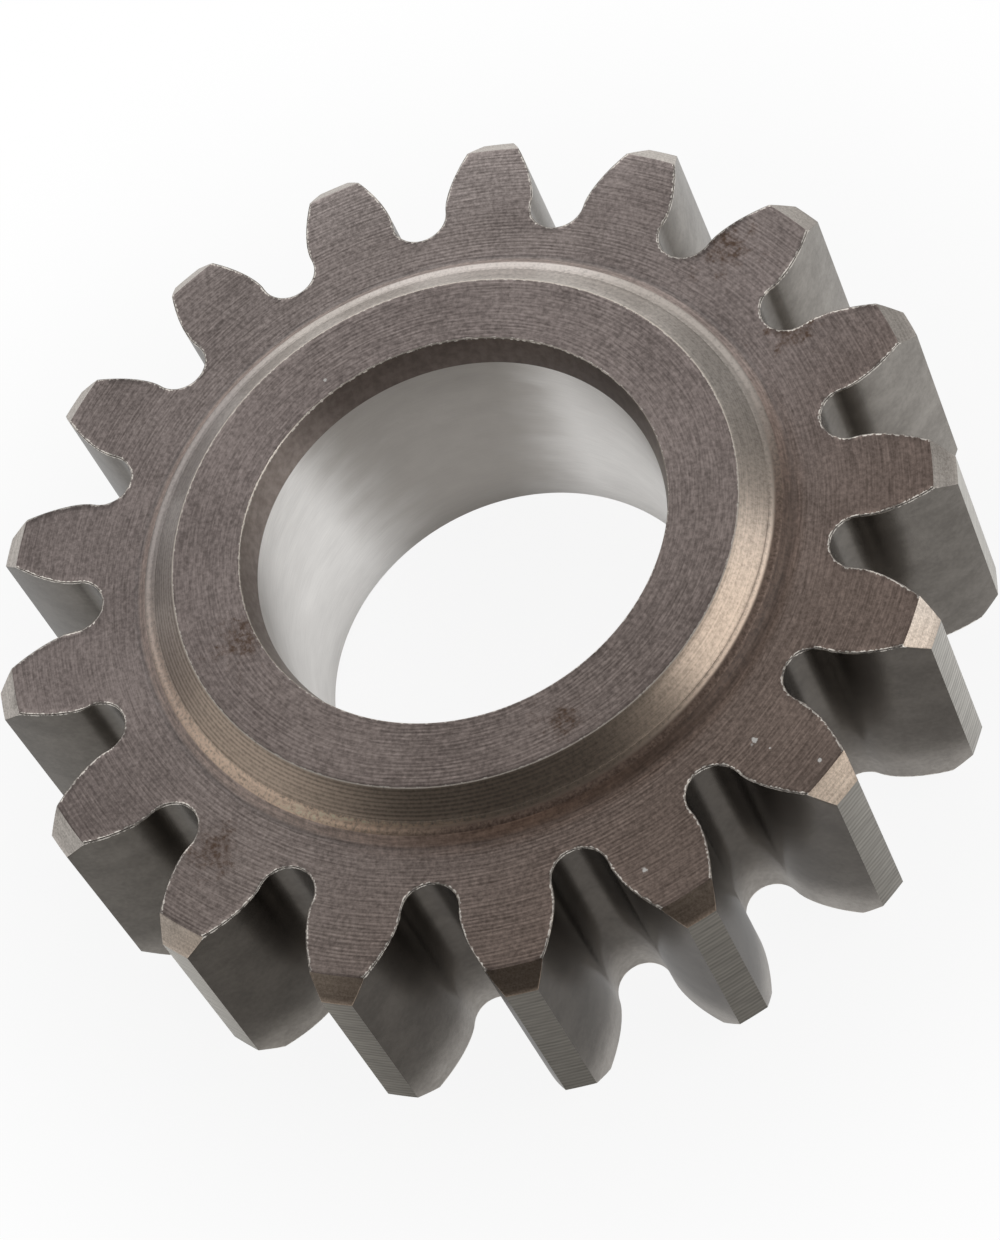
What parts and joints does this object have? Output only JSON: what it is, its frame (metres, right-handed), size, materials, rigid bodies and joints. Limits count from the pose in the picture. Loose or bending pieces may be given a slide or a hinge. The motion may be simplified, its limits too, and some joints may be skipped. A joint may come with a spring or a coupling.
{
  "type": "spur gear wheel",
  "caption": "One-piece steel spur gear wheel with involute teeth, a low hub with a sloping side and a smooth through bore.",
  "frame": {"origin": "on the bore's axis, midway between the two faces of the toothed rim", "axes": "+Z along the bore's axis out of the front face, the one with the high hub; +X through the middle of one tooth"},
  "size_m": [0.0479, 0.0482, 0.0144],
  "materials": {
    "machined_steel": "turned faces with fine concentric tool marks, ground bore, satin flanks, lightly stained"
  },
  "bodies": {
    "root": {"gear_wheel": "machined_steel"}
  },
  "joints": []
}
